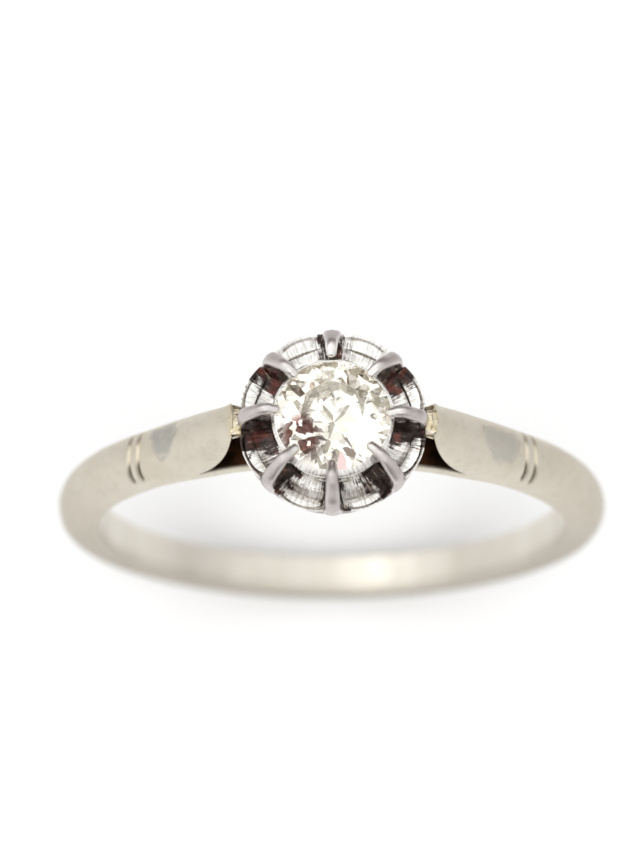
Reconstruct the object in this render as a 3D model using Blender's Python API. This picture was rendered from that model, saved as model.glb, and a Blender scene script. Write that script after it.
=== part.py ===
"""A soldered white-metal solitaire ring with an illusion head: one round stone held by eight claws.

The finger runs along Y, the stone is at the top (+Z) and the two shoulders rise along X. The origin is the lowest
point of the hoop, so the ring stands on it. Hoop pieces are modelled about the hoop's axis, and head pieces about
the head's vertical axis with their height counted from the bridge's outer surface.
"""

import math

import bmesh
import bpy
from mathutils import Matrix, Vector

MM = 0.001

# Hoop
FINGER_RADIUS = 8.5 * MM
JOINT_ANGLE = math.radians(44.7)  # from the top of the hoop to the joint between the shank and a shoulder
CROWN_AT_JOINT = 1.42 * MM  # radial thickness of the hoop at that joint
CROWN_AT_BACK = 1.0 * MM
WIDTH_AT_JOINT = 1.86 * MM
WIDTH_AT_BACK = 1.56 * MM
WIDTH_SETTLES_ANGLE = math.radians(120)  # beyond this angle the shank keeps its back width
DOME_AT_JOINT = 0.62  # share of the thickness taken by the rounded outer side
DOME_AT_BACK = 0.36
FINGER_EDGE = 0.08 * MM  # easing of the two edges that touch the finger
SHANK_STEPS = 67  # odd, so that one flat is centred at the back
DOME_STEPS = 8

# Shoulders, each a solid block that splits into an upper leaf and a seat for the bridge
BRANCH_ANGLE = math.radians(30)
WIDTH_AT_BRANCH = 1.96 * MM
LEAF_END_RADIUS = 3.36 * MM  # the leaf is filed round the head at this radius
LEAF_END_TOP = 10.75 * MM  # heights of the leaf's end above the hoop's axis
LEAF_END_BOTTOM = 10.42 * MM
LEAF_END_WIDTH = 1.22 * MM
LEAF_LOWER_PULL = (0.62, 0.30)  # how far the leaf's underside keeps its first and its last direction
LEAF_DOME_SHARE = 0.72  # the leaf keeps the block's dome where it leaves it
BLOCK_STEPS = 6
LEAF_STEPS = 10
GROOVE_ANGLES = (math.radians(42.0), JOINT_ANGLE)
GROOVE_HALF_WIDTH = math.radians(0.62)
GROOVE_DEPTH = 0.12 * MM

# Bridge under the head
BRIDGE_THICKNESS = 0.45 * MM
BRIDGE_WIDTH = 1.90 * MM
BRIDGE_EASING = 0.03 * MM
BRIDGE_STEPS = 24

# Fits
SOLDER_GAP = 0.02 * MM

# Head: heights are above the bridge's outer surface
HEAD_STEPS = 48
BASE_OUTER_RADIUS = 1.50 * MM
BASE_INNER_RADIUS = 1.12 * MM
BASE_TOP = 0.40 * MM
BASE_EASING = 0.06 * MM

CLAW_COUNT = 8
CLAW_THICKNESS = 0.26 * MM
CLAW_FOOT_WIDTH = 0.50 * MM
CLAW_TIP_WIDTH = 0.40 * MM
CLAW_OUTER_RADIUS = 3.14 * MM
CLAW_FOOT = Vector((1.53 * MM, 0.24 * MM))  # radius and height of the centre line's corners
CLAW_KNEE_HEIGHT = 1.05 * MM
CLAW_ELBOW_HEIGHT = 2.10 * MM
CLAW_BROW = Vector((2.27 * MM, 2.64 * MM))  # the highest place, just outside the stone
CLAW_TIP = Vector((1.93 * MM, 2.34 * MM))
CLAW_BEND_RADIUS = 0.40 * MM
CLAW_BEND_STEPS = 4
CLAW_TIP_ROUNDING = ((0.0, 1.0), (0.6, 0.86), (0.9, 0.55))  # share of the rounding's length, share of the size
CLAW_TIP_LENGTH = 0.12 * MM

RIM_RADIUS = 3.03 * MM  # beside a claw
RIM_BULGE = 0.14 * MM  # how much further the rim stands out between two claws
RIM_HEIGHT = 1.60 * MM
RIM_LAND = 0.08 * MM
RIM_WALL = 0.10 * MM
SCOOP_RIDGE_DROP = 0.08 * MM  # fall of the ridge between two scoops, from the rim to the collet
SCOOP_FLOOR_DROP = 0.42 * MM  # fall of a scoop's middle from the rim to the collet
SCOOP_HOLLOW = 0.06 * MM
SCOOP_STEPS = 6
PLATE_LEDGE_RADIUS = 2.02 * MM
PLATE_LEDGE_HEIGHT = 1.10 * MM
PLATE_HOLE_RADIUS = 1.32 * MM
PLATE_FOOT_INNER_RADIUS = 1.15 * MM
PLATE_UNDERSIDE = (  # (radius, height), from the foot up into the corner that holds the rail, and out to the rim
    (2.20 * MM, 0.86 * MM),
    (2.64 * MM, 1.13 * MM),
    (2.69 * MM, 1.31 * MM),
    (2.88 * MM, 1.35 * MM),
)

RAIL_INNER_RADIUS = 2.72 * MM
RAIL_OUTER_RADIUS = 3.10 * MM
RAIL_BOTTOM = 1.15 * MM
RAIL_TOP = 1.28 * MM

NOTCH_RADIUS = CLAW_OUTER_RADIUS - CLAW_THICKNESS - SOLDER_GAP
NOTCH_FLAT = math.radians(5.4)  # half angle of a claw's notch at its floor
NOTCH_MOUTH = math.radians(7.4)  # and at its mouth
SECTOR_ANGLES = (0, 5.4, 7.4, 12, 17, 22.5, 28, 33, 37.6, 39.6)  # degrees from one claw towards the next

# Stone
STONE_RADIUS = 2.03 * MM
GIRDLE_HEIGHT = 2.00 * MM
GIRDLE_THICKNESS = 0.05 * MM
GIRDLE_SIDES = 64
TABLE_SHARE = 0.53
CROWN_ANGLE = math.radians(35)
STAR_ANGLE = math.radians(22)
PAVILION_ANGLE = math.radians(41)
LOWER_HALF_SHARE = 0.60
CULET_RADIUS = 0.07 * MM

COLLET_TOP = 1.82 * MM
COLLET_OUTER_RADIUS = 1.98 * MM
COLLET_FOOT_RADIUS = 1.86 * MM
COLLET_BORE_RADIUS = 1.52 * MM
COLLET_SEAT_CLEARANCE = 0.07 * MM

SOLDER_INNER_RADIUS = CLAW_OUTER_RADIUS + SOLDER_GAP
SOLDER_OUTER_RADIUS = LEAF_END_RADIUS - SOLDER_GAP
SOLDER_HALF_ANGLE = math.radians(10.5)
SOLDER_BOTTOM = 1.18 * MM
SOLDER_TOP = 1.66 * MM
SOLDER_STEPS = 8

# Derived places
HOOP_AXIS_HEIGHT = FINGER_RADIUS + CROWN_AT_BACK
BRIDGE_RADIUS = FINGER_RADIUS + BRIDGE_THICKNESS
CLAW_CENTRE_RADIUS = CLAW_OUTER_RADIUS - CLAW_THICKNESS / 2

WHITE_GOLD = ("white_gold", (0.72, 0.69, 0.61), 0.32, 1.0)
CLAW_METAL = ("claw_metal", (0.60, 0.57, 0.56), 0.38, 1.0)
POLISHED_METAL = ("polished_metal", (0.80, 0.78, 0.76), 0.08, 1.0)
SOLDER_METAL = ("solder_metal", (0.80, 0.68, 0.42), 0.30, 1.0)
STONE_MATERIAL = ("stone", (0.97, 0.96, 0.90), 0.0, 0.0)


def clear_scene():
    for obj in list(bpy.data.objects):
        bpy.data.objects.remove(obj)


def material(name, colour, roughness, metallic):
    made = bpy.data.materials.get(name) or bpy.data.materials.new(name)
    made.use_nodes = True
    shader = made.node_tree.nodes["Principled BSDF"]
    shader.inputs["Base Color"].default_value = (*colour, 1.0)
    shader.inputs["Roughness"].default_value = roughness
    shader.inputs["Metallic"].default_value = metallic
    return made


def empty(name, location, parent=None):
    made = bpy.data.objects.new(name, None)
    made.location = location
    made.parent = parent
    bpy.context.scene.collection.objects.link(made)
    return made


def mesh_from(bm, name):
    bmesh.ops.recalc_face_normals(bm, faces=bm.faces)
    mesh = bpy.data.meshes.new(name)
    bm.to_mesh(mesh)
    bm.free()
    return mesh


def place(name, mesh, finish, parent, turn=0.0, smooth=True):
    """Puts a mesh in the scene under its parent's frame, turned about Z."""
    if not mesh.materials:
        mesh.materials.append(material(*finish))
    if smooth:
        mesh.shade_smooth()
        mesh.set_sharp_from_angle(angle=math.radians(35))
    made = bpy.data.objects.new(name, mesh)
    made.rotation_euler.z = turn
    made.parent = parent
    bpy.context.scene.collection.objects.link(made)
    return made


def loft(name, loops, closed=False):
    """A skin over loops of equally many points: a ring of them when closed, else a bar with flat ends."""
    bm = bmesh.new()
    rows = [[bm.verts.new(point) for point in loop] for loop in loops]
    if closed:
        spans = zip(rows, rows[1:] + rows[:1])
    else:
        spans = zip(rows, rows[1:])
        bm.faces.new(rows[0])
        bm.faces.new(rows[-1])
    for here, there in spans:
        for i in range(len(here)):
            j = (i + 1) % len(here)
            bm.faces.new((here[i], here[j], there[j], there[i]))
    return mesh_from(bm, name)


def smooth_step(share):
    share = min(max(share, 0.0), 1.0)
    return share * share * (3 - 2 * share)


def mix(start, end, share):
    return start + (end - start) * share


def on_hoop(angle, radius):
    """The point at this angle from the top and this distance from the hoop's axis, as (x, z)."""
    return Vector((radius * math.sin(angle), radius * math.cos(angle)))


def half_round_section(width, thickness, dome, groove=0.0):
    """(across, outwards) points of a half-round bar: flat on the finger, upright sides and a domed outside."""
    half = width / 2
    points = [(half - FINGER_EDGE, 0.0), (half, FINGER_EDGE)]
    for step in range(DOME_STEPS + 1):
        turn = math.pi * step / DOME_STEPS
        outwards = thickness - dome + (dome - groove) * math.sin(turn)
        points.append((half * math.cos(turn), outwards))
    return points + [(-half, FINGER_EDGE), (-half + FINGER_EDGE, 0.0)]


def section_loop(inner, crown, width, dome_share, groove=0.0):
    """A half-round section that stands between two (x, z) points, one on its flat side and one on its crown."""
    rise = crown - inner
    outwards = rise.normalized()
    section = half_round_section(width, rise.length, rise.length * dome_share, groove)
    loop = []
    for across, out in section:
        point = inner + outwards * out
        loop.append(Vector((point.x, across, point.y)))
    return loop


def groove_depth(angle):
    """Depth of the engraved lines at this angle: full in a line's middle and none beyond its edges."""
    nearest = min(abs(abs(angle) - line) for line in GROOVE_ANGLES)
    return GROOVE_DEPTH * max(0.0, 1 - nearest / GROOVE_HALF_WIDTH)


def shank_thickness(angle):
    share = (angle - JOINT_ANGLE) / (math.pi - JOINT_ANGLE)
    return mix(CROWN_AT_JOINT, CROWN_AT_BACK, (1 - math.cos(math.pi * share**1.5)) / 2)


def shank_width(angle):
    share = (angle - JOINT_ANGLE) / (WIDTH_SETTLES_ANGLE - JOINT_ANGLE)
    return mix(WIDTH_AT_JOINT, WIDTH_AT_BACK, smooth_step(share))


def shank_dome(angle):
    share = (angle - JOINT_ANGLE) / (WIDTH_SETTLES_ANGLE - JOINT_ANGLE)
    return mix(DOME_AT_JOINT, DOME_AT_BACK, smooth_step(share))


def shank():
    """The hoop from one shoulder round the back to the other. Each end is half of an engraved line."""
    end = JOINT_ANGLE + SOLDER_GAP / 2 / FINGER_RADIUS
    step = 2 * (math.pi - end) / SHANK_STEPS
    angles = [end, end + GROOVE_HALF_WIDTH]
    angles += [end + step * i for i in range(1, SHANK_STEPS)]
    angles += [2 * math.pi - angles[1], 2 * math.pi - angles[0]]
    loops = []
    for angle in angles:
        from_top = min(angle, 2 * math.pi - angle)
        thickness = shank_thickness(from_top)
        crown = on_hoop(angle, FINGER_RADIUS + thickness)
        inner = on_hoop(angle, FINGER_RADIUS)
        width, dome = shank_width(from_top), shank_dome(from_top)
        loops.append(section_loop(inner, crown, width, dome, groove_depth(from_top)))
    return loft("shank", loops)


def crown_line(angle):
    """Where the straight top of the shoulder crosses the ray at this angle from the hoop's axis."""
    start = on_hoop(JOINT_ANGLE, FINGER_RADIUS + CROWN_AT_JOINT)
    run = Vector((LEAF_END_RADIUS, LEAF_END_TOP)) - start
    ray = on_hoop(angle, 1.0)
    share = (start.y * ray.x - start.x * ray.y) / (run.x * ray.y - run.y * ray.x)
    return start + run * share


def leaf_underside(share):
    """The leaf's lower edge: it leaves the branch along the leaf and turns up to meet the head."""
    start = on_hoop(BRANCH_ANGLE, BRIDGE_RADIUS + SOLDER_GAP)
    end = Vector((LEAF_END_RADIUS, LEAF_END_BOTTOM))
    along = (Vector((LEAF_END_RADIUS, LEAF_END_TOP)) - crown_line(BRANCH_ANGLE)).normalized()
    reach = (end - start).length
    first = start + along * reach * LEAF_LOWER_PULL[0]
    last = end - Vector((0.0, 1.0)) * reach * LEAF_LOWER_PULL[1]
    rest = 1 - share
    return rest**3 * start + 3 * rest**2 * share * first + 3 * rest * share**2 * last + share**3 * end


def shoulder(side):
    """A solid block from the shank's joint to the branch, then the leaf that rises to the head."""
    loops = []
    joint = JOINT_ANGLE - SOLDER_GAP / 2 / FINGER_RADIUS
    line = GROOVE_ANGLES[0]
    angles = [joint, joint - GROOVE_HALF_WIDTH]
    angles += [line + GROOVE_HALF_WIDTH, line, line - GROOVE_HALF_WIDTH]
    last = angles[-1]
    angles += [mix(last, BRANCH_ANGLE, i / BLOCK_STEPS) for i in range(1, BLOCK_STEPS + 1)]
    for angle in angles:
        share = (JOINT_ANGLE - angle) / (JOINT_ANGLE - BRANCH_ANGLE)
        width = mix(WIDTH_AT_JOINT, WIDTH_AT_BRANCH, smooth_step(share))
        inner = on_hoop(angle, FINGER_RADIUS)
        loops.append(section_loop(inner, crown_line(angle), width, DOME_AT_JOINT, groove_depth(angle)))
    branch_top = crown_line(BRANCH_ANGLE)
    leaf_top = Vector((LEAF_END_RADIUS, LEAF_END_TOP))
    for step in range(LEAF_STEPS + 1):
        share = step / LEAF_STEPS
        top = branch_top.lerp(leaf_top, mix(0.02, 1.0, share))
        width = mix(WIDTH_AT_BRANCH, LEAF_END_WIDTH, smooth_step(share))
        loops.append(section_loop(leaf_underside(share), top, width, LEAF_DOME_SHARE))
    for point in loops[-1]:
        point.x = math.sqrt(LEAF_END_RADIUS**2 - point.y**2)
    flip = Vector((side, 1.0, 1.0))
    return loft("shoulder", [[point * flip for point in loop] for loop in loops])


def bridge():
    """The thin inner rail that closes the hoop under the head."""
    half = BRIDGE_WIDTH / 2
    ease = BRIDGE_EASING
    section = ((half - ease, 0), (half, ease), (half, BRIDGE_THICKNESS - ease), (half - ease, BRIDGE_THICKNESS))
    section += tuple((-across, out) for across, out in reversed(section))
    end = BRANCH_ANGLE - SOLDER_GAP / FINGER_RADIUS
    loops = []
    for step in range(BRIDGE_STEPS + 1):
        angle = mix(-end, end, step / BRIDGE_STEPS)
        loop = []
        for across, out in section:
            point = on_hoop(angle, FINGER_RADIUS + out)
            loop.append(Vector((point.x, across, point.y)))
        loops.append(loop)
    return loft("bridge", loops)


def around(radius, turn, height):
    return Vector((radius * math.cos(turn), radius * math.sin(turn), height))


def revolve(name, profile, turns):
    """Sweeps a closed profile round the head's axis. profile(turn) gives its (radius, height) points there."""
    loops = [[around(radius, turn, height) for radius, height in profile(turn)] for turn in turns]
    return loft(name, loops, closed=True)


def even_turns():
    return [2 * math.pi * step / HEAD_STEPS for step in range(HEAD_STEPS)]


def sector_turns():
    """Angles round the head, closer together at the edges of each claw's notch."""
    sector = 360 / CLAW_COUNT
    return [math.radians(claw * sector + part) for claw in range(CLAW_COUNT) for part in SECTOR_ANGLES]


def from_claw(turn):
    """Angle from the nearest claw."""
    sector = 2 * math.pi / CLAW_COUNT
    past = turn % sector
    return min(past, sector - past)


def off_scoop_middle(turn):
    """0 in the middle of a scoop and 1 at a claw."""
    return 1 - from_claw(turn) / (math.pi / CLAW_COUNT)


def notched(radius, turn):
    """This outer radius, brought in to the notch's floor where a claw passes."""
    share = (NOTCH_MOUTH - from_claw(turn)) / (NOTCH_MOUTH - NOTCH_FLAT)
    return mix(radius, NOTCH_RADIUS, min(max(share, 0.0), 1.0))


def base_ring():
    """The foot of the head: a plain ring whose underside is filed to the bridge's curve."""
    seat = BRIDGE_RADIUS + SOLDER_GAP

    def profile(turn):
        def on_bridge(radius):
            return math.sqrt(seat**2 - (radius * math.cos(turn)) ** 2) - BRIDGE_RADIUS

        return (
            (BASE_INNER_RADIUS, on_bridge(BASE_INNER_RADIUS)),
            (BASE_OUTER_RADIUS, on_bridge(BASE_OUTER_RADIUS)),
            (BASE_OUTER_RADIUS, BASE_TOP - BASE_EASING),
            (BASE_OUTER_RADIUS - BASE_EASING, BASE_TOP),
            (BASE_INNER_RADIUS + BASE_EASING, BASE_TOP),
            (BASE_INNER_RADIUS, BASE_TOP - BASE_EASING),
        )

    return revolve("base_ring", profile, even_turns())


def scoop_height(turn, share):
    """Height of the plate's mirror side, from the rim (share 0) in to the collet (share 1)."""
    ridge = RIM_HEIGHT - SCOOP_RIDGE_DROP * share
    floor = RIM_HEIGHT - SCOOP_FLOOR_DROP * share - SCOOP_HOLLOW * math.sin(math.pi * share)
    return mix(floor, ridge, off_scoop_middle(turn) ** 2)


def illusion_plate():
    """The scalloped cup round the stone: eight polished scoops, and a notch for each claw between them."""
    foot_height = BASE_TOP + SOLDER_GAP

    def profile(turn):
        rim = notched(RIM_RADIUS + RIM_BULGE * (1 - off_scoop_middle(turn) ** 2), turn)
        start = rim - RIM_LAND
        points = [(rim, scoop_height(turn, 0) - RIM_WALL), (rim, scoop_height(turn, 0))]
        for step in range(SCOOP_STEPS + 1):
            share = step / SCOOP_STEPS
            points.append((mix(start, PLATE_LEDGE_RADIUS, share), scoop_height(turn, share)))
        points += [
            (PLATE_LEDGE_RADIUS - RIM_LAND, PLATE_LEDGE_HEIGHT),
            (PLATE_HOLE_RADIUS, PLATE_LEDGE_HEIGHT),
            (PLATE_FOOT_INNER_RADIUS, foot_height),
            (BASE_OUTER_RADIUS, foot_height),
        ]
        for radius, height in PLATE_UNDERSIDE:
            points.append((min(radius, rim - RIM_WALL), height))
        return points

    return revolve("illusion_plate", profile, sector_turns())


def gallery_rail():
    """The wire under the plate's rim that ties the claws together, let in where each claw crosses it."""

    def profile(turn):
        outer = notched(RAIL_OUTER_RADIUS, turn)
        return (
            (RAIL_INNER_RADIUS, RAIL_BOTTOM),
            (outer, RAIL_BOTTOM),
            (outer, RAIL_TOP),
            (RAIL_INNER_RADIUS, RAIL_TOP),
        )

    return revolve("gallery_rail", profile, sector_turns())


def collet():
    """The tube under the stone, bevelled inside to the slope of the stone's lower half."""
    slope = math.tan(PAVILION_ANGLE)
    mouth = STONE_RADIUS - (GIRDLE_HEIGHT - COLLET_TOP) / slope + COLLET_SEAT_CLEARANCE
    seat_foot = COLLET_TOP - (mouth - COLLET_BORE_RADIUS) * slope
    foot = PLATE_LEDGE_HEIGHT + SOLDER_GAP
    points = (
        (COLLET_FOOT_RADIUS, foot),
        (COLLET_OUTER_RADIUS, COLLET_TOP),
        (mouth, COLLET_TOP),
        (COLLET_BORE_RADIUS, seat_foot),
        (COLLET_BORE_RADIUS, foot),
    )
    return revolve("collet", lambda turn: points, even_turns())


def rounded_path(corners, radius, steps):
    """Points along straight runs between corners, each inner corner rounded to this radius."""
    points = [corners[0]]
    for before, corner, after in zip(corners, corners[1:], corners[2:]):
        back = (before - corner).normalized()
        on = (after - corner).normalized()
        half_angle = back.angle(on) / 2
        setback = radius / math.tan(half_angle)
        centre = corner + (back + on).normalized() * (radius / math.sin(half_angle))
        start = corner + back * setback - centre
        end = corner + on * setback - centre
        sweep = start.angle_signed(end)
        for step in range(steps + 1):
            points.append(centre + Matrix.Rotation(-sweep * step / steps, 2) @ start)
    return points + [corners[-1]]


def claw_section(width, thickness):
    """(across, through) points of a bar with softened corners."""
    corner = ((0.5, 0.22), (0.33, 0.5))
    points = [(across * width, through * thickness) for across, through in corner]
    points += [(-across, through) for across, through in reversed(points)]
    return points + [(-across, -through) for across, through in points]


def claw():
    """One claw along +X: a foot from the base ring, an upright let into the rim, and an arm over the stone."""
    corners = (
        CLAW_FOOT,
        Vector((CLAW_CENTRE_RADIUS, CLAW_KNEE_HEIGHT)),
        Vector((CLAW_CENTRE_RADIUS, CLAW_ELBOW_HEIGHT)),
        CLAW_BROW,
        CLAW_TIP,
    )
    path = rounded_path(corners, CLAW_BEND_RADIUS, CLAW_BEND_STEPS)
    tip_run = (path[-1] - path[-2]).normalized()
    sizes = [1.0] * (len(path) - 1)
    tip = path.pop()
    for share, size in CLAW_TIP_ROUNDING:
        path.append(tip + tip_run * CLAW_TIP_LENGTH * share)
        sizes.append(size)
    loops = []
    for i, centre in enumerate(path):
        ahead = path[min(i + 1, len(path) - 1)] - path[max(i - 1, 0)]
        if i == 0:
            ahead = Vector((1.0, 0.0))  # the foot's end stands upright against the base ring
        through = Vector((-ahead.y, ahead.x)).normalized()
        share = smooth_step(i / (len(path) - 1))
        width = mix(CLAW_FOOT_WIDTH, CLAW_TIP_WIDTH, share) * sizes[i]
        loop = []
        for across, depth in claw_section(width, CLAW_THICKNESS * sizes[i]):
            point = centre + through * depth
            loop.append(Vector((point.x, across, point.y)))
        loops.append(loop)
    return loft("claw", loops)


def cut_facet(bm, turn, angle, point):
    """Grinds one flat onto the stone. Its outward normal leans this angle from the vertical: over 90 faces down."""
    tilt = Vector((math.sin(angle), 0.0, math.cos(angle)))
    spin = Matrix.Rotation(turn, 3, "Z")
    everything = bm.verts[:] + bm.edges[:] + bm.faces[:]
    bmesh.ops.bisect_plane(
        bm, geom=everything, dist=1e-7, plane_co=spin @ Vector(point), plane_no=spin @ tilt, clear_outer=True
    )
    rim = [edge for edge in bm.edges if edge.is_boundary]
    bmesh.ops.edgeloop_fill(bm, edges=rim)


def stone():
    """A round brilliant in the old proportions, ground from a cylinder facet by facet, as on a lapidary's wheel."""
    table_radius = STONE_RADIUS * TABLE_SHARE
    table_height = GIRDLE_THICKNESS + (STONE_RADIUS - table_radius) * math.tan(CROWN_ANGLE)
    eighth = math.pi / 4
    half = eighth / 2
    # A star facet starts at a side of the table and ends where it meets the two mains beside it.
    table_side = table_radius * math.cos(half)
    star_fall = math.tan(STAR_ANGLE)
    main_fall = math.tan(CROWN_ANGLE) * math.cos(half)
    meet = (GIRDLE_THICKNESS + STONE_RADIUS * math.tan(CROWN_ANGLE) - table_height - table_side * star_fall) / (
        main_fall - star_fall
    )
    meet_height = table_height - (meet - table_side) * star_fall
    upper_angle = math.atan2(meet_height - GIRDLE_THICKNESS, STONE_RADIUS - meet * math.cos(half / 2))
    # The lower halves meet on the seam between two pavilion mains, this share of the way to the culet.
    seam = STONE_RADIUS * (1 - LOWER_HALF_SHARE)
    seam_depth = (STONE_RADIUS - seam * math.cos(half)) * math.tan(PAVILION_ANGLE)
    lower_angle = math.atan2(seam_depth, STONE_RADIUS - seam * math.cos(half / 2))

    bm = bmesh.new()
    bmesh.ops.create_cone(
        bm, cap_ends=True, segments=GIRDLE_SIDES, radius1=STONE_RADIUS, radius2=STONE_RADIUS, depth=4 * STONE_RADIUS
    )
    culet_depth = -(STONE_RADIUS - CULET_RADIUS) * math.tan(PAVILION_ANGLE)
    cut_facet(bm, 0, 0, (0, 0, table_height))
    cut_facet(bm, 0, math.pi, (0, 0, culet_depth))
    for index in range(8):
        cut_facet(bm, index * eighth, CROWN_ANGLE, (STONE_RADIUS, 0, GIRDLE_THICKNESS))
        cut_facet(bm, index * eighth, math.pi - PAVILION_ANGLE, (STONE_RADIUS, 0, 0))
        cut_facet(bm, index * eighth + half, STAR_ANGLE, (table_side, 0, table_height))
    for index in range(16):
        turn = (index + 0.5) * half
        cut_facet(bm, turn, upper_angle, (STONE_RADIUS, 0, GIRDLE_THICKNESS))
        cut_facet(bm, turn, math.pi - lower_angle, (STONE_RADIUS, 0, 0))
    bmesh.ops.remove_doubles(bm, verts=bm.verts, dist=1e-6)
    bmesh.ops.translate(bm, verts=bm.verts, vec=(0, 0, GIRDLE_HEIGHT))
    return mesh_from(bm, "stone")


def solder_fillet():
    """The seam of solder along +X between the head and a leaf, thickest in the middle and sagging below."""
    loops = []
    for step in range(SOLDER_STEPS + 1):
        turn = mix(-SOLDER_HALF_ANGLE, SOLDER_HALF_ANGLE, step / SOLDER_STEPS)
        fullness = math.cos(turn / SOLDER_HALF_ANGLE * math.radians(75))
        middle = mix(SOLDER_BOTTOM, SOLDER_TOP, 0.6)
        low = mix(middle, SOLDER_BOTTOM, fullness)
        high = mix(middle, SOLDER_TOP, fullness)
        waist = mix(SOLDER_INNER_RADIUS, SOLDER_OUTER_RADIUS, 0.5)
        section = (
            (SOLDER_INNER_RADIUS, low),
            (waist, mix(low, high, 0.1)),
            (SOLDER_OUTER_RADIUS, mix(low, high, 0.35)),
            (SOLDER_OUTER_RADIUS, high),
            (waist, mix(low, high, 0.9)),
            (SOLDER_INNER_RADIUS, high),
        )
        loops.append([around(radius, turn, height) for radius, height in section])
    return loft("solder_fillet", loops)


def build():
    clear_scene()
    hoop = empty("hoop_axis", (0, 0, HOOP_AXIS_HEIGHT))
    head = empty("head_axis", (0, 0, BRIDGE_RADIUS), parent=hoop)
    place("shank", shank(), WHITE_GOLD, hoop)
    place("shoulder_right", shoulder(1), WHITE_GOLD, hoop)
    place("shoulder_left", shoulder(-1), WHITE_GOLD, hoop)
    place("bridge", bridge(), WHITE_GOLD, hoop)
    place("base_ring", base_ring(), CLAW_METAL, head)
    place("gallery_rail", gallery_rail(), CLAW_METAL, head)
    place("illusion_plate", illusion_plate(), POLISHED_METAL, head)
    place("collet", collet(), POLISHED_METAL, head)
    claw_mesh = claw()
    for index in range(CLAW_COUNT):
        place(f"claw_{index + 1}", claw_mesh, CLAW_METAL, head, turn=2 * math.pi * index / CLAW_COUNT)
    place("diamond", stone(), STONE_MATERIAL, head, smooth=False)
    fillet_mesh = solder_fillet()
    place("solder_right", fillet_mesh, SOLDER_METAL, head)
    place("solder_left", fillet_mesh, SOLDER_METAL, head, turn=math.pi)


build()
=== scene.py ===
"""The looks of the solitaire ring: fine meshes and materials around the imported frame, on a pale floor.

Places come from the frame. The hoop is built about the finger's axis, and the head about the vertical axis
through the stone, with heights counted from the bridge's outer surface.
"""

import math
import random

import bmesh
import bpy
import numpy as np
from mathutils import Matrix, Vector, noise

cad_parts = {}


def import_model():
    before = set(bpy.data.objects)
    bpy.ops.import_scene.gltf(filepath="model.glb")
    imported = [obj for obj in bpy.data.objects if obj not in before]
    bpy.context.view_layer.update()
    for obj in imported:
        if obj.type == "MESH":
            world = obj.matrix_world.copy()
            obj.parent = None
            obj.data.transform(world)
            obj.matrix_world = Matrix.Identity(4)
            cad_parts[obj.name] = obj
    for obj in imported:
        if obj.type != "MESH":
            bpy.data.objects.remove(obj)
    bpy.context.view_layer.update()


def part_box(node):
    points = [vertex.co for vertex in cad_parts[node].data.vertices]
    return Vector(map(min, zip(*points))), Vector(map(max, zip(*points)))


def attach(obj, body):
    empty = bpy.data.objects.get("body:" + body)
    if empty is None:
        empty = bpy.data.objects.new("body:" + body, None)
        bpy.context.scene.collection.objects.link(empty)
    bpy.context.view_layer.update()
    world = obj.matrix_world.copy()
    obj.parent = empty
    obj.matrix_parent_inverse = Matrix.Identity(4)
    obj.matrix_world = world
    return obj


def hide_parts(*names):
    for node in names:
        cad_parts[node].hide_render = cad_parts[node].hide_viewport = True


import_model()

MM = 0.001
SHARP_ANGLE = math.radians(40)

# Places read from the frame
SHANK_LOW, SHANK_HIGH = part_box("shank")
BRIDGE_LOW, BRIDGE_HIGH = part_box("bridge")
SHOULDER_LOW, SHOULDER_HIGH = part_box("shoulder_right")
BASE_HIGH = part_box("base_ring")[1]
RAIL_LOW, RAIL_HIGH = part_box("gallery_rail")
PLATE_LOW, PLATE_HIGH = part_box("illusion_plate")
COLLET_LOW, COLLET_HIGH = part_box("collet")
CLAW_LOW, CLAW_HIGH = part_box("claw_1")
STONE_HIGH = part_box("diamond")[1]
SOLDER_LOW, SOLDER_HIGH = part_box("solder_right")

# Hoop
FINGER_RADIUS = 8.5 * MM
BRIDGE_THICKNESS = 0.45 * MM
BRIDGE_RADIUS = FINGER_RADIUS + BRIDGE_THICKNESS
AXIS_HEIGHT = BRIDGE_HIGH.z - BRIDGE_RADIUS
HOOP_CENTRE = np.array((0, 0, AXIS_HEIGHT))
CROWN_AT_BACK = AXIS_HEIGHT - FINGER_RADIUS
JOINT_ANGLE = math.radians(44.7)
CROWN_AT_JOINT = 1.42 * MM
WIDTH_AT_JOINT = SHANK_HIGH.y - SHANK_LOW.y
WIDTH_AT_BACK = 1.56 * MM
WIDTH_SETTLES_ANGLE = math.radians(120)
DOME_AT_JOINT = 0.62
DOME_AT_BACK = 0.36
FINGER_EDGE = 0.08 * MM

# Shoulders
BRANCH_ANGLE = math.radians(30)
WIDTH_AT_BRANCH = SHOULDER_HIGH.y - SHOULDER_LOW.y
LEAF_END_RADIUS = 3.36 * MM
LEAF_END_TOP = SHOULDER_HIGH.z - AXIS_HEIGHT
LEAF_END_BOTTOM = LEAF_END_TOP - 0.33 * MM
LEAF_END_WIDTH = 1.22 * MM
LEAF_END_SHIFT = 0.05 * MM
LEAF_LOWER_PULL = (0.50, 0.14)
LEAF_CORNER = 0.17 * MM
LEAF_CORNER_SHARE = 0.90
BLOCK_LOOPS = 84
LEAF_LOOPS = 60
LEAF_DOME_SHARE = 0.78
LEAF_ROUNDING = 0.16 * MM
GROOVE_ANGLES = (math.radians(42.0), JOINT_ANGLE)
GROOVE_HALF_WIDTH = math.radians(0.62)
GROOVE_DEPTH = 0.10 * MM
GROOVE_LEAN = math.radians(0.5)
GROOVE_BOW = math.radians(1.5)
SIDE_WORDS = {1: "right", -1: "left"}
# By side: (x from the middle, y, half length, half width) in mm, and how strong it is
WORN_PATCHES = {-1: (5.72, 0.08, 0.40, 0.58, 1.0), 1: (5.74, -0.08, 0.58, 0.55, 0.62)}

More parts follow.
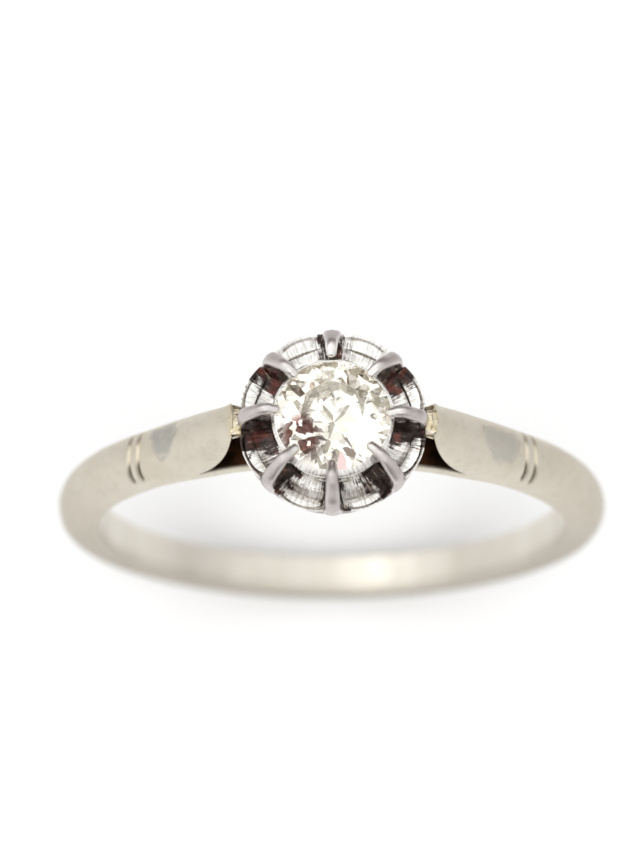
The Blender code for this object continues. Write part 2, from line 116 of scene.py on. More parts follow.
# Head
HEAD_HEIGHT = BRIDGE_HIGH.z
CLAW_COUNT = 8
SECTOR = 2 * math.pi / CLAW_COUNT
CLAW_OUTER_RADIUS = CLAW_HIGH.x
CLAW_THICKNESS = 0.26 * MM
CLAW_CENTRE_RADIUS = CLAW_OUTER_RADIUS - CLAW_THICKNESS / 2
CLAW_WIDTH = CLAW_HIGH.y - CLAW_LOW.y
CLAW_TIP_WIDTH = 0.36 * MM
CLAW_KNEE_HEIGHT = 1.05 * MM
CLAW_ELBOW_HEIGHT = 2.10 * MM
CLAW_BROW = Vector((2.27 * MM, 2.64 * MM))
CLAW_TIP = Vector((1.93 * MM, 2.34 * MM))
CLAW_BEND_RADIUS = 0.40 * MM
CLAW_FOOT = Vector((1.50 * MM, 0.24 * MM))
CLAW_FLARE_HEIGHT = 1.26 * MM
CLAW_FLARE_REACH = 0.15 * MM
# How each claw was bent, from claw_1 on: (mm further over the stone, mm its tip leans anticlockwise,
# broadness, mm its elbow sits lower)
CLAW_HABITS = (
    (0.04, 0.05, 1.08, 0.05),
    (0.06, 0.10, 1.22, 0.20),
    (-0.17, 0.05, 1.50, 0.22),
    (0.05, -0.06, 1.22, 0.20),
    (0.05, -0.16, 1.12, 0.08),
    (0.22, -0.03, 1.02, 0.0),
    (0.22, -0.03, 1.08, 0.0),
    (0.26, 0.10, 1.02, 0.0),
)
BASE_INNER_RADIUS = 1.12 * MM
RAIL_OUTER_RADIUS = 3.10 * MM
RAIL_INNER_RADIUS = RAIL_OUTER_RADIUS - 0.38 * MM
WIRE_CORNER = 0.06 * MM
RIM_HEIGHT = PLATE_HIGH.z - HEAD_HEIGHT
RIM_RADIUS = 3.03 * MM
RIM_BULGE = 0.14 * MM
RIM_WALL = 0.10 * MM
SCOOP_RIDGE_DROP = 0.08 * MM
SCOOP_RIM_DIP = 0.09 * MM
SCOOP_DEPTH = 0.42 * MM
SCOOP_HOLLOW = 0.16 * MM
SCOOP_ROUNDNESS = 0.80
SCOOP_STROKE = 0.010 * MM
RIM_LAND = 0.045 * MM
# How far the painted dark reflection reaches across each scoop from the claw before it and from the claw
# after it, as shares of the scoop. The first scoop runs from claw_1 to claw_2.
SCOOP_DARK_REFLECTION = (
    (0.02, 0.44),
    (0.10, 0.20),
    (0.24, 0.03),
    (0.42, 0.02),
    (0.52, 0.06),
    (0.27, 0.16),
    (0.19, 0.38),
    (0.04, 0.36),
)
# How much further the painted dark reflection reaches close to the stone
DARK_REFLECTION_NEAR_STONE = 0.10
LEDGE_RADIUS = 2.02 * MM
LEDGE_HEIGHT = 1.10 * MM
NOTCH_RADIUS = CLAW_OUTER_RADIUS - CLAW_THICKNESS
NOTCH_FLAT = math.radians(5.2)
NOTCH_MOUTH = math.radians(6.2)
LIP_INNER_RADIUS = 1.87 * MM
LIP_OUTER_RADIUS = 2.11 * MM
LIP_FALL = 0.12 * MM
LIP_THINNING = 0.08 * MM
COLLET_BORE = 1.52 * MM
STONE_RADIUS = STONE_HIGH.x
GIRDLE_HEIGHT = 2.0 * MM
GIRDLE_THICKNESS = 0.05 * MM
CROWN_ANGLE = math.radians(35)
STAR_ANGLE = math.radians(22)
PAVILION_ANGLE = math.radians(41)
ANGLE_ERROR = 2.4  # in degrees
TABLE_RADIUS = STONE_RADIUS * 0.53
CULET_RADIUS = 0.09 * MM
STONE_TURN = math.radians(9)
UNDERSIDE_TWIST = math.radians(7)
# Where the stone's facets are painted with dark reflections
DARK_FACETS_AT = (-1.05, -0.80, (HEAD_HEIGHT + GIRDLE_HEIGHT) / MM + 0.5)  # in mm
SOLDER_INNER_RADIUS = SOLDER_LOW.x
SOLDER_HALF_ANGLE = math.radians(9.8)

# Camera
CAMERA_ELEVATION = 71.7  # in degrees
CAMERA_DISTANCE = 100 * MM
CAMERA_TARGET = Vector((-0.39 * MM, 0, AXIS_HEIGHT + 10.25 * MM))
CAMERA_LENS = 127.9
CAMERA_FSTOP = 43.0
CAMERA_NEAR = 5 * MM
CAMERA_FAR = 5.0

# Studio. A tent wall's stop is (sine of its elevation, colour). A patch is (azimuth, elevation, radius where
# it is full, radius where it has faded, colour), in degrees, with azimuth 0 on the camera's side.
TENT_WALL = (
    (0.0, (0.60, 0.57, 0.55)),
    (0.10, (0.12, 0.08, 0.06)),
    (0.48, (0.10, 0.06, 0.05)),
    (0.64, (1.05, 1.04, 1.03)),
    (1.0, (1.1, 1.1, 1.1)),
)
TENT_PATCHES = (
    (180, 72, 6, 20, (1.22, 1.22, 1.20)),
    (-76, 22, 34, 50, (1.06, 1.05, 1.03)),
    (76, 22, 34, 50, (0.87, 0.86, 0.85)),
    (-117, 52, 8, 26, (1.30, 1.30, 1.29)),
    (117, 52, 8, 26, (1.12, 1.12, 1.11)),
    (0, 16, 14, 22, (0.12, 0.085, 0.07)),
    (0, 60, 4, 11, (2.4, 2.4, 2.4)),
    (-112, 4, 14, 24, (0.79, 0.775, 0.76)),
    (112, 4, 14, 24, (0.67, 0.66, 0.65)),
    (-134, 63, 4, 12, (2.7, 2.7, 2.65)),
)
# What the camera and the floor see in place of the tent
BACKDROP = (0.93, 0.93, 0.93)
TENT_FOR_FLOOR = (0.72, 0.72, 0.72)
FLOOR_RADIUS = 1.2
FLOOR_LIGHT_PLACE = (0, -0.27, 0.53)
FLOOR_LIGHT_SIZE = 0.7
FLOOR_LIGHT_POWER = 2.4
# The tent as the stone sees it: patches this many to the unit, each a stop of (share, colour)
TENT_CELLS = 9.0
TENT_CELL_COLOURS = (
    (0.0, (0.12, 0.08, 0.065)),
    (0.09, (0.34, 0.32, 0.29)),
    (0.22, (0.62, 0.60, 0.56)),
    (0.38, (1.0, 1.0, 1.0)),
    (0.86, (1.0, 0.95, 0.84)),
    (0.93, (0.80, 0.58, 0.62)),
    (0.97, (0.54, 0.64, 0.76)),
)
TENT_CELL_GAIN = 1.55
STONE_IOR = 2.42
# From within, the stone's underside is a mirror
UNDERSIDE_IOR_GAIN = 20.0
# After this many bounces the stone glows cream, a painted glow in place of the light still inside it, paler
# where the facets are clear
STONE_DEPTH = 5.5
STONE_GLOW = ((0.58, 0.54, 0.46), (0.30, 0.28, 0.24))


# ---- shapes


def smooth(share):
    share = np.clip(share, 0.0, 1.0)
    return share * share * (3 - 2 * share)


def mix(start, end, share):
    return start + (end - start) * share


def link(made):
    bpy.context.scene.collection.objects.link(made)
    return made


def skin(name, loops, closed=False, marks=None):
    """An object whose mesh spans loops of equally many points. marks gives named values to the points."""
    loops = np.asarray(loops, float)
    count, points = loops.shape[:2]
    index = np.arange(count * points).reshape(count, points)
    here, there = (index, np.roll(index, -1, axis=0)) if closed else (index[:-1], index[1:])
    quads = np.stack([here, np.roll(here, -1, axis=1), np.roll(there, -1, axis=1), there], axis=-1)
    faces = quads.reshape(-1, 4).tolist()
    if not closed:
        faces += [index[0].tolist(), index[-1].tolist()]
    mesh = bpy.data.meshes.new(name)
    mesh.from_pydata(loops.reshape(-1, 3).tolist(), [], faces)
    for mark, values in (marks or {}).items():
        layer = mesh.attributes.new(mark, "FLOAT", "POINT")
        layer.data.foreach_set("value", np.broadcast_to(values, (count, points)).astype(np.float32).ravel())
    bm = bmesh.new()
    bm.from_mesh(mesh)
    bmesh.ops.recalc_face_normals(bm, faces=bm.faces)
    bm.to_mesh(mesh)
    bm.free()
    mesh.shade_smooth()
    mesh.set_sharp_from_angle(angle=SHARP_ANGLE)
    return link(bpy.data.objects.new(f"{name}_fine", mesh))


def finish_piece(piece, finish, slot):
    """Puts a finish on a piece, lets it ride on the ring and stand for the CAD node it is named after."""
    piece.data.materials.append(finish)
    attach(piece, "root")
    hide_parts(piece.name.removesuffix("_fine"))


def wave(*place):
    """A random value that changes smoothly from place to place."""
    return noise.noise(Vector(place))


def waves(points):
    return np.array([wave(*point) for point in points.reshape(-1, 3)]).reshape(points.shape[:-1])


def hand_wobble(loops, centre, size, depth, seed):
    """Pushes points away from centre and back by up to depth, in waves of this size, both in mm."""
    loops = np.asarray(loops, float)
    out = loops - centre
    out /= np.linalg.norm(out, axis=-1, keepdims=True) + 1e-12
    push = waves(loops / (size * MM) + seed * 17.3)
    return loops + out * (push * (depth * MM))[..., None]


def half_round(width, thickness, dome_share):
    """(across, outwards) points of a half-round bar: flat on the finger, with upright sides and a dome."""
    half = width / 2
    ease = FINGER_EDGE
    upright = max(thickness * (1 - dome_share), 1.4 * ease)
    right = [(half * share, 0.0) for share in np.linspace(0, 1 - ease / half, 6)]
    for turn in np.linspace(0, math.pi / 2, 7)[1:]:
        right.append((half - ease + ease * math.sin(turn), ease - ease * math.cos(turn)))
    right += [(half, mix(ease, upright, share)) for share in (0.25, 0.5, 0.75)]
    for turn in np.linspace(0, math.pi / 2, 26):
        right.append((half * math.cos(turn), upright + (thickness - upright) * math.sin(turn)))
    left = [(-across, out) for across, out in right[-2:0:-1]]
    return np.array(right + left)


# For each point of half_round: its place across, from -1 to 1, how far up the dome it is, and whether the
# finger has polished it
SECTION_ACROSS, SECTION_OUT = half_round(2.0, 1.0, 0.5).T
SECTION_DOME = np.clip((SECTION_OUT - 0.5) / 0.5, 0, 1)
SECTION_FINGER = (SECTION_OUT < FINGER_EDGE / 2).astype(float)
# Painted shade: the engraved lines are dark at the bottom on the front half
SECTION_SLIT_SHADE = np.clip((-SECTION_ACROSS - 0.30) / 0.25, 0, 1)


def on_hoop(angle, radius):
    return np.array((radius * math.sin(angle), radius * math.cos(angle)))


def bar_loop(inner, crown, width, dome_share, cut=0.0):
    """A half-round section standing between two (x, z) points. cut is how deep each point is engraved."""
    inner, crown = np.asarray(inner, float), np.asarray(crown, float)
    rise = crown - inner
    thickness = np.linalg.norm(rise)
    outwards = rise / thickness
    section = half_round(width, thickness, dome_share)
    middle = np.array((0.0, thickness * 0.25))
    towards = middle - section
    towards /= np.linalg.norm(towards, axis=1, keepdims=True)
    section = section + towards * np.broadcast_to(cut, SECTION_DOME.shape)[:, None]
    x = inner[0] + outwards[0] * section[:, 1]
    z = inner[1] + outwards[1] * section[:, 1]
    return np.stack([x, section[:, 0], z + AXIS_HEIGHT], axis=-1)


def groove_cut(angle):
    """How deep each point of a section is engraved, from 0 to 1. The lines run out down the sides."""
    leaning = abs(angle) + GROOVE_LEAN * SECTION_ACROSS - GROOVE_BOW * SECTION_ACROSS**2
    nearest = np.min([np.abs(leaning - line) for line in GROOVE_ANGLES], axis=0)
    return np.clip(1 - nearest / GROOVE_HALF_WIDTH, 0, 1) * smooth((SECTION_DOME - 0.12) / 0.35)


def shank_section(angle):
    """(crown's thickness, width, dome's share) of the hoop at this angle from the top."""
    share = max((angle - JOINT_ANGLE) / (math.pi - JOINT_ANGLE), 0.0)
    crown = mix(CROWN_AT_JOINT, CROWN_AT_BACK, (1 - math.cos(math.pi * share**1.5)) / 2)
    settled = smooth((angle - JOINT_ANGLE) / (WIDTH_SETTLES_ANGLE - JOINT_ANGLE))
    return crown, mix(WIDTH_AT_JOINT, WIDTH_AT_BACK, settled), mix(DOME_AT_JOINT, DOME_AT_BACK, settled)


def shank():
    near_joint = np.linspace(JOINT_ANGLE, JOINT_ANGLE + math.radians(3.4), 28)
    angles = np.concatenate([near_joint, np.linspace(JOINT_ANGLE + math.radians(4), math.pi, 150)])
    angles = np.concatenate([angles, 2 * math.pi - angles[-2::-1]])
    loops, cuts = [], []
    for angle in angles:
        from_top = min(angle, 2 * math.pi - angle)
        crown, width, dome = shank_section(from_top)
        cut = groove_cut(from_top)
        inner = on_hoop(angle, FINGER_RADIUS)
        loops.append(bar_loop(inner, on_hoop(angle, FINGER_RADIUS + crown), width, dome, cut * GROOVE_DEPTH))
        cuts.append(cut)
    loops = hand_wobble(loops, HOOP_CENTRE, 1.3, 0.012, 1)
    # Where the hoop is painted darker as shade: towards its back, which stands on the floor
    back = smooth((math.pi - np.abs(angles - math.pi)) / math.pi * 2 - 0.35)[:, None]
    marks = {"groove": np.array(cuts), "slit_shade": SECTION_SLIT_SHADE, "finger": SECTION_FINGER, "back": back}
    return skin("shank", loops, marks=marks)


def crown_line(angle):
    """Where the straight top of the shoulder crosses the ray at this angle from the hoop's axis."""
    start = on_hoop(JOINT_ANGLE, FINGER_RADIUS + CROWN_AT_JOINT)
    run = np.array((LEAF_END_RADIUS, LEAF_END_TOP)) - start
    ray = on_hoop(angle, 1.0)
    share = (start[1] * ray[0] - start[0] * ray[1]) / (run[0] * ray[1] - run[1] * ray[0])
    return start + run * share


def leaf_underside(share):
    """The leaf's lower edge: it leaves the branch along the leaf and turns up to meet the head."""
    start = on_hoop(BRANCH_ANGLE, BRIDGE_RADIUS)
    end = np.array((LEAF_END_RADIUS, LEAF_END_BOTTOM))
    along = np.array((LEAF_END_RADIUS, LEAF_END_TOP)) - crown_line(BRANCH_ANGLE)
    along /= np.linalg.norm(along)
    reach = np.linalg.norm(end - start)
    first = start + along * reach * LEAF_LOWER_PULL[0]
    last = end - np.array((0.0, 1.0)) * reach * LEAF_LOWER_PULL[1]
    rest = 1 - share
    return rest**3 * start + 3 * rest**2 * share * first + 3 * rest * share**2 * last + share**3 * end


def shoulder(side):
    """A block from the joint to the branch, then the leaf that rises to the head, softened at its end."""
    loops, cuts = [], []
    for angle in np.linspace(JOINT_ANGLE, BRANCH_ANGLE, BLOCK_LOOPS):
        share = (JOINT_ANGLE - angle) / (JOINT_ANGLE - BRANCH_ANGLE)
        width = mix(WIDTH_AT_JOINT, WIDTH_AT_BRANCH, smooth(share))
        cut = groove_cut(angle)
        inner = on_hoop(angle, FINGER_RADIUS)
        loops.append(bar_loop(inner, crown_line(angle), width, DOME_AT_JOINT, cut * GROOVE_DEPTH))
        cuts.append(cut)
    branch_top = crown_line(BRANCH_ANGLE)
    leaf_top = np.array((LEAF_END_RADIUS, LEAF_END_TOP))
    block = np.linalg.norm(branch_top) - FINGER_RADIUS
    dome_at_branch = DOME_AT_JOINT * block / (block - BRIDGE_THICKNESS)
    shares = np.sin(np.linspace(0, math.pi / 2, LEAF_LOOPS))
    for share in shares:
        top = mix(branch_top, leaf_top, mix(0.01, 1.0, share))
        past = max(share - LEAF_CORNER_SHARE, 0.0) / (1 - LEAF_CORNER_SHARE)
        width = mix(WIDTH_AT_BRANCH, LEAF_END_WIDTH, smooth(share))
        width -= 2 * LEAF_CORNER * (1 - math.sqrt(1 - past**2))
        loop = bar_loop(leaf_underside(share), top, width, mix(dome_at_branch, LEAF_DOME_SHARE, share))
        loops.append(loop + np.array((0, LEAF_END_SHIFT * smooth(share), 0)))
    loops = np.array(loops)
    end = loops[-1].copy()
    end[:, 0] = np.sqrt(LEAF_END_RADIUS**2 - end[:, 1] ** 2)
    shift = end[:, 0] - loops[-1][:, 0]
    loops[-LEAF_LOOPS:, :, 0] += shift[None, :] * smooth(2 * shares - 1)[:, None]
    middle = end.mean(axis=0)
    rounded = []
    for turn in np.linspace(0, math.pi / 2, 8)[1:]:
        inset = end + (middle - end) * (LEAF_ROUNDING * (1 - math.cos(turn)) / (0.42 * MM))
        inset[:, 0] = np.sqrt(LEAF_END_RADIUS**2 - inset[:, 1] ** 2) - LEAF_ROUNDING * 0.5 * math.sin(turn)
        rounded.append(inset)
    loops = np.concatenate([loops, np.array(rounded)])
    cuts = np.concatenate([np.array(cuts), np.zeros((len(loops) - len(cuts), len(SECTION_DOME)))])
    wobbled = hand_wobble(loops, HOOP_CENTRE, 1.1, 0.014, 2 + side)
    loops = mix(loops, wobbled, np.clip(np.arange(len(loops)) / 8, 0, 1)[:, None, None])
    loops[..., 0] *= side
    under = (np.arange(len(loops)) >= BLOCK_LOOPS).astype(float)[:, None]
    marks = {
        "groove": cuts,
        "slit_shade": SECTION_SLIT_SHADE,
        "patch": worn_patch(loops, side),
        # The leaf's underside is painted dark rust-brown, as rust and shade
        "crevice": under * SECTION_FINGER,
        "finger": (1 - under) * SECTION_FINGER,
        "flooded": 1 - smooth((np.hypot(loops[..., 0], loops[..., 1]) - LEAF_END_RADIUS) / (0.34 * MM)),
    }
    return skin(f"shoulder_{SIDE_WORDS[side]}", loops, marks=marks)


def worn_patch(loops, side):
    """Above 0 inside the grey worn place on a shoulder's crown, next to the engraved lines."""
    x, y = np.abs(loops[..., 0]), loops[..., 1]
    centre_x, centre_y, reach_x, reach_y, strength = WORN_PATCHES[side]
    along = (y - centre_y * MM) / (reach_y * MM)
    across = (x - centre_x * MM) / (reach_x * MM * (1 + 0.35 * np.clip(along, -1, 1)))
    away = (np.abs(along) ** 3 + np.abs(across) ** 3) ** (1 / 3)
    ragged = waves(loops / (0.28 * MM))
    return strength * (1 - smooth((away + 0.22 * ragged - 0.75) / 0.4))


def rounded_bar(width, thickness, radius):
    """(across, outwards) points of a flat bar whose four corners are rounded."""
    points = []
    half = width / 2
    corners = ((half - radius, radius, -90), (half - radius, thickness - radius, 0))
    corners += ((radius - half, thickness - radius, 90), (radius - half, radius, 180))
    for across, out, start in corners:
        for turn in np.radians(np.linspace(start, start + 90, 6)):
            points.append((across + radius * math.cos(turn), out + radius * math.sin(turn)))
    filled = []
    for here, there in zip(points, points[1:] + points[:1]):
        steps = max(1, round(math.dist(here, there) / (0.09 * MM)))
        filled += [mix(np.array(here), np.array(there), step / steps) for step in range(steps)]
    return np.array(filled)


def bridge():
    width = BRIDGE_HIGH.y - BRIDGE_LOW.y
    section = rounded_bar(width, BRIDGE_THICKNESS, 0.05 * MM)
    loops = []
    for angle in np.linspace(-BRANCH_ANGLE, BRANCH_ANGLE, 130):
        spread = mix(1.0, WIDTH_AT_BRANCH / width, smooth((abs(angle) / BRANCH_ANGLE - 0.75) / 0.25))
        radii = FINGER_RADIUS + section[:, 1]
        x = radii * math.sin(angle)
        z = AXIS_HEIGHT + radii * math.cos(angle)
        loops.append(np.stack([x, section[:, 0] * spread, z], axis=-1))
    loops = hand_wobble(loops, HOOP_CENTRE, 1.2, 0.008, 5)
    # The middle of the bridge's top, under the head, is painted dark rust-brown, as rust and shade
    top = smooth((section[:, 1] / BRIDGE_THICKNESS - 0.8) / 0.2)
    marks = {"crevice": top * smooth((0.90 * MM - np.abs(section[:, 0])) / (0.08 * MM))}
    return skin("bridge", loops, marks=marks)


def full_turn(count):
    return np.linspace(0, 2 * math.pi, count, endpoint=False)


def around(radius, turn, height):
    """Points at these radii and heights, counted from the head's axis and the bridge."""
    radius, height = np.broadcast_arrays(np.asarray(radius, float), np.asarray(height, float))
    return np.stack([radius * math.cos(turn), radius * math.sin(turn), height + HEAD_HEIGHT], axis=-1)


def revolve(name, profile, turns, marks=None):
    loops = []
    for turn in turns:
        points = np.array(profile(turn))
        loops.append(around(points[:, 0], turn, points[:, 1]))
    return skin(name, loops, closed=True, marks=marks)


def soft_corners(points, radius, steps=4):
    """A closed (radius, height) outline with each corner rounded."""
    points = [np.array(p, float) for p in points]
    out = []
    for before, corner, after in zip(points[-1:] + points[:-1], points, points[1:] + points[:1]):
        back, on = before - corner, after - corner
        reach = min(radius, np.linalg.norm(back) * 0.45, np.linalg.norm(on) * 0.45)
        start = corner + back / np.linalg.norm(back) * reach
        end = corner + on / np.linalg.norm(on) * reach
        for share in np.linspace(0, 1, steps):
            out.append((1 - share) ** 2 * start + 2 * share * (1 - share) * corner + share**2 * end)
    return np.array(out)


def base_ring():
    inner, outer, top = BASE_INNER_RADIUS, BASE_HIGH.x, BASE_HIGH.z - HEAD_HEIGHT

    def profile(turn):
        def on_bridge(radius):
            return math.sqrt(BRIDGE_RADIUS**2 - (radius * math.cos(turn)) ** 2) - BRIDGE_RADIUS

        outline = ((inner, on_bridge(inner)), (outer, on_bridge(outer)), (outer, top), (inner, top))
        return soft_corners(outline, WIRE_CORNER)

    return revolve("base_ring", profile, full_turn(96))


def gallery_rail():
    inner, outer = RAIL_INNER_RADIUS, RAIL_OUTER_RADIUS
    low, high = RAIL_LOW.z - HEAD_HEIGHT, RAIL_HIGH.z - HEAD_HEIGHT
    points = soft_corners(((inner, low), (outer, low), (outer, high), (inner, high)), WIRE_CORNER)
    return revolve("gallery_rail", lambda turn: points, full_turn(192))


def from_claw(turn):
    past = turn % SECTOR
    return min(past, SECTOR - past)


def off_scoop_middle(turn):
    """0 in the middle of a scoop and 1 at a claw."""
    return 1 - from_claw(turn) / (SECTOR / 2)


def notched(radius, turn):
    share = (NOTCH_MOUTH - from_claw(turn)) / (NOTCH_MOUTH - NOTCH_FLAT)
    return mix(radius, NOTCH_RADIUS, float(np.clip(share, 0, 1)))


def scoop_height(turn, share):
    """Height of the gouged mirror side, from the rim (share 0) in to the collet (share 1)."""
    share = np.asarray(share, float)
    depth = mix(SCOOP_RIM_DIP, SCOOP_DEPTH, share**0.7) + SCOOP_HOLLOW * np.sin(math.pi * share)
    across = off_scoop_middle(turn) * SCOOP_ROUNDNESS
    rise = (1 - math.sqrt(1 - across**2)) / (1 - math.sqrt(1 - SCOOP_ROUNDNESS**2))
    wander = 1.5 * wave(math.degrees(turn) * 0.03, 5.0, 1.0)
    strokes = wave(math.degrees(turn) * 0.30 + wander, 3.1, 0.2)
    strokes += 0.5 * wave(math.degrees(turn) * 0.8, 8.1, 2.2)
    ridge = RIM_HEIGHT - SCOOP_RIDGE_DROP * share
    return ridge - depth * (1 - rise) + strokes * SCOOP_STROKE * np.clip(share * 5, 0.15, 1)


def scoop_dark_reflection(turn):
    """Over 0.5 in the part of a scoop painted as a dark reflection, under 0.5 outside it, by how far its edge
    is away.
    """
    scoop, past = divmod(turn / SECTOR, 1)
    before, after = SCOOP_DARK_REFLECTION[int(scoop) % CLAW_COUNT]
    return 0.5 + max(before - past, after - (1 - past))


def illusion_plate():
    foot = PLATE_LOW.z - HEAD_HEIGHT
    shares = np.linspace(0, 1, 30)
    lip_points = 9  # of the rim's softened outline, the ones before the mirror

    def profile(turn):
        rim = notched(RIM_RADIUS + RIM_BULGE * (1 - off_scoop_middle(turn) ** 2), turn)
        land = rim - RIM_LAND
        top = float(scoop_height(turn, 0.0))
        wall = top - RIM_WALL
        outline = ((rim, wall), (rim, top), (land, top - 0.006 * MM), (land - 0.1 * MM, wall))
        lip = soft_corners(outline, 0.025 * MM)[:lip_points]
        mirror = np.stack([mix(land, LEDGE_RADIUS, shares), scoop_height(turn, shares)], axis=-1)
        inside = ((LEDGE_RADIUS - 0.06 * MM, LEDGE_HEIGHT), (1.32 * MM, LEDGE_HEIGHT), (1.15 * MM, foot))
        under = ((BASE_HIGH.x, foot), (2.20 * MM, 0.86 * MM), (2.64 * MM, 1.13 * MM))
        under += ((min(2.69 * MM, rim - RIM_WALL), 1.31 * MM),)
        under += ((min(2.88 * MM, rim - RIM_WALL / 2), 1.40 * MM),)
        return np.concatenate([lip, mirror[1:], inside, under])

    step = SECTOR / 90
    offsets = [0.0, NOTCH_FLAT / 2, NOTCH_FLAT, NOTCH_MOUTH]
    offsets += [NOTCH_MOUTH + step * k for k in range(1, 60)]
    offsets = [o for o in offsets if o < SECTOR / 2 - step / 2] + [SECTOR / 2]
    offsets += [SECTOR - o for o in offsets[-2:0:-1]]
    turns = [index * SECTOR + o for index in range(CLAW_COUNT) for o in offsets]
    # The painted dark reflection reaches further in close to the stone
    near_stone = np.zeros(len(profile(0.0)))
    mirror_end = lip_points + len(shares) - 1
    near_stone[lip_points:mirror_end] = smooth((shares[1:] - 0.55) / 0.45) * DARK_REFLECTION_NEAR_STONE
    dark_reflection = np.array([scoop_dark_reflection(turn) for turn in turns])[:, None] + near_stone
    return revolve("illusion_plate", profile, turns, marks={"dark_reflection": dark_reflection})


def collet():
    slope = math.tan(PAVILION_ANGLE)
    top = COLLET_HIGH.z - HEAD_HEIGHT
    foot = COLLET_LOW.z - HEAD_HEIGHT
    mouth = STONE_RADIUS - (GIRDLE_HEIGHT - top) / slope + 0.05 * MM
    girdle_top = GIRDLE_HEIGHT + GIRDLE_THICKNESS
    lip_top = girdle_top + (STONE_RADIUS - LIP_INNER_RADIUS) * math.tan(CROWN_ANGLE) + 0.02 * MM
    outline = ((1.86 * MM, foot), (COLLET_HIGH.x, top - 0.12 * MM), (LIP_OUTER_RADIUS, top + 0.12 * MM))
    outline += ((LIP_OUTER_RADIUS, lip_top - LIP_FALL), (LIP_INNER_RADIUS + 0.03 * MM, lip_top + 0.02 * MM))
    outline += ((LIP_INNER_RADIUS, lip_top), (STONE_RADIUS + 0.01 * MM, girdle_top))
    outline += ((STONE_RADIUS, top + 0.15 * MM), (mouth, top))
    outline += ((COLLET_BORE, top - (mouth - COLLET_BORE) * slope), (COLLET_BORE, foot))
    outline = soft_corners(outline, 0.03 * MM)
    lip = outline[:, 1] > top + 0.05 * MM
    inner = outline[:, 0] < LIP_OUTER_RADIUS - 0.05 * MM
    lifted = inner & (outline[:, 1] > girdle_top + 0.02 * MM)

    def profile(turn):
        """The lip was rubbed over the stone by hand: it is broad at the front, and its inner edge wanders."""
        thin = 1 - smooth((math.cos(turn + math.pi / 2) - 0.35) / 0.5)
        wander = 0.03 * MM * wave(2.2 * math.cos(turn), 2.2 * math.sin(turn), 6.0)
        wander += 0.03 * MM * thin
        across = wander * lifted - LIP_THINNING * thin * (lip & ~inner)
        return outline + np.stack([across, -wander * 0.7 * lifted], axis=-1)

    return revolve("collet", profile, full_turn(200), marks={"clean": 1.0})


def rounded_path(corners, radius, bend_steps, run_steps):
    """Points along straight runs between corners, each inner corner rounded to this radius."""
    arcs = []
    for before, corner, after in zip(corners, corners[1:], corners[2:]):
        back = (before - corner).normalized()
        on = (after - corner).normalized()
        half_angle = back.angle(on) / 2
        centre = corner + (back + on).normalized() * (radius / math.sin(half_angle))
        setback = radius / math.tan(half_angle)
        start = corner + back * setback - centre
        end = corner + on * setback - centre
        sweep = start.angle_signed(end)
        spins = [Matrix.Rotation(-sweep * k / bend_steps, 2) for k in range(bend_steps + 1)]
        arcs.append([centre + spin @ start for spin in spins])
    arcs.append([corners[-1]])
    points = [corners[0]]
    for arc in arcs:
        last = points[-1]
        points += [last.lerp(arc[0], k / run_steps) for k in range(1, run_steps)]
        points += arc
    return points


def claw_section(width, thickness):
    """(across, outwards) points: a half-round wire with soft corners, its flat side towards the stone."""
    outline = ((0.5, -0.5), (0.5, 0.02), (0.36, 0.40), (0.0, 0.58), (-0.36, 0.40), (-0.5, 0.02), (-0.5, -0.5))
    return soft_corners([(across * width, out * thickness) for across, out in outline], 0.07 * MM)


def claw(index):
    """One claw: a foot from the base ring, an upright let into the rim, and an arm bent over the stone."""
    rng = random.Random(40 + index)
    reach, lean, broad, drop = CLAW_HABITS[index - 1]
    brow = CLAW_BROW + Vector((rng.uniform(-0.03, 0.03), rng.uniform(-0.03, 0.03) - 0.45 * drop)) * MM
    brow.x += max(-reach, 0.0) * 0.8 * MM
    tip = CLAW_TIP + Vector((-reach * MM, 0.35 * abs(reach) * MM))
    knee = Vector((CLAW_CENTRE_RADIUS, CLAW_KNEE_HEIGHT))
    elbow = Vector((CLAW_CENTRE_RADIUS, CLAW_ELBOW_HEIGHT - drop * MM))
    path = rounded_path([CLAW_FOOT, knee, elbow, brow, tip], CLAW_BEND_RADIUS, 9, 5)
    sizes = [1.0] * len(path)
    tip_run = (path[-1] - path[-2]).normalized()
    end = path[-1]
    for turn_up in np.radians((18, 36, 54, 70, 82)):
        path.append(end + tip_run * (0.13 * MM * math.sin(turn_up)))
        sizes.append(max(math.cos(turn_up), 0.18))
    loops, worn, edges = [], [], []
    count = len(path)
    lengths = np.cumsum([0.0] + [(b - a).length for a, b in zip(path, path[1:])])
    for i, centre in enumerate(path):
        ahead = path[min(i + 1, count - 1)] - path[max(i - 1, 0)]
        inwards = Vector((-ahead.y, ahead.x)).normalized()
        share = lengths[i] / lengths[-1]
        width = mix(CLAW_WIDTH * broad, CLAW_TIP_WIDTH, float(smooth((share - 0.45) / 0.55)))
        flare = 0.42 * math.exp(-(((centre.y - CLAW_FLARE_HEIGHT) / CLAW_FLARE_REACH) ** 2))
        flare *= centre.x > 2.8 * MM
        section = claw_section(width * (1 + flare) * sizes[i], CLAW_THICKNESS * mix(1.0, sizes[i], 0.8))
        sway = lean * MM * float(smooth((share - 0.40) / 0.60))
        loop = []
        for across, out in section:
            point = centre - inwards * out
            loop.append((point.x, across + sway, point.y))
        loops.append(loop)
        # Where the claw is painted lighter, for wear and as highlights: its tip, and its edges
        worn.append(float(smooth((share - 0.80) / 0.16)))
        edges.append(np.clip((np.abs(section[:, 0]) / (width / 2) - 0.8) / 0.2, 0, 1))
    loops = np.array(loops)
    wobble_centre = np.array((2.4 * MM, 0, 1.6 * MM))
    loops = hand_wobble(loops, wobble_centre, 0.35, 0.014, 20 + index)
    loops = loops @ np.array(Matrix.Rotation(SECTOR * (index - 1), 3, "Z")).T
    loops[..., 2] += HEAD_HEIGHT
    marks = {"tip": np.array(worn)[:, None], "edge": np.array(edges)}
    return skin(f"claw_{index}", loops, marks=marks)


